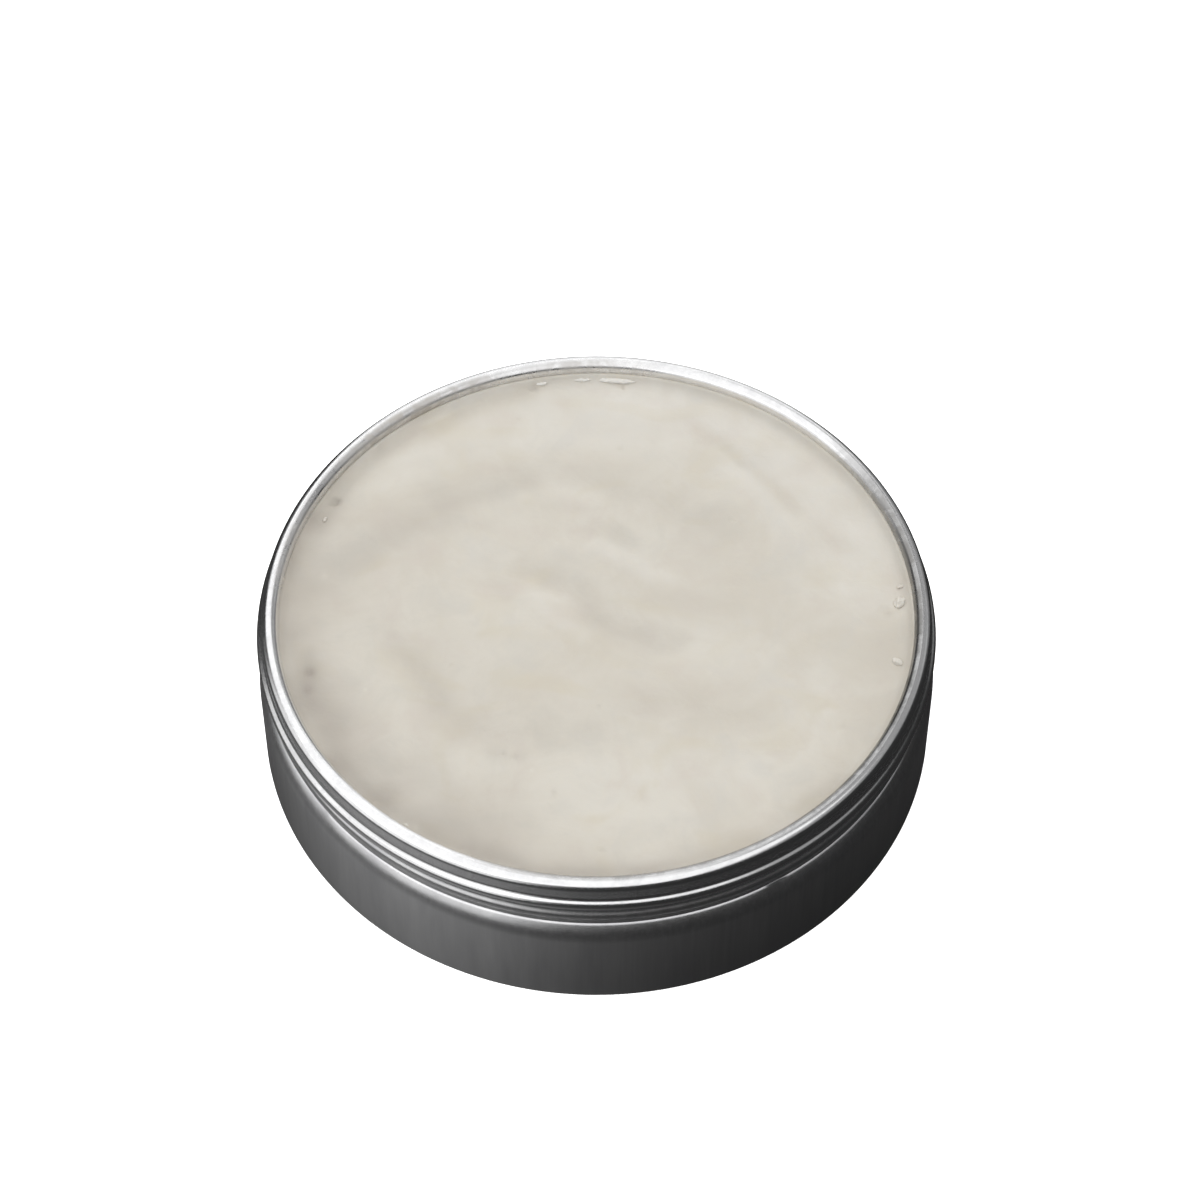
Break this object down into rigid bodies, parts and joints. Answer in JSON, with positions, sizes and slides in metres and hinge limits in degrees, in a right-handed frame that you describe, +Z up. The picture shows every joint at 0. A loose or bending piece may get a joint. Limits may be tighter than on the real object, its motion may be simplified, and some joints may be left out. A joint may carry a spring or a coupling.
{
  "type": "shoe polish tin",
  "caption": "Open round aluminium tin, shallow, with a rounded shoulder, beaded neck and inward-rolled rim, filled with cream wax polish.",
  "frame": {"origin": "centre of the underside, on the plane the tin stands on", "axes": "+Z up along the tin's axis, towards its mouth; the tin is round, and -Y is the side the picture shows as its front"},
  "size_m": [0.083, 0.083, 0.0228],
  "materials": {
    "tin": "satin, drawn and rolled sheet with fine upright draw marks",
    "polish": "cream wax polish, softly mottled, waxy matte"
  },
  "bodies": {
    "root": {"tin_body": "tin", "polish": "polish", "polish_crumbs": "polish"}
  },
  "joints": []
}
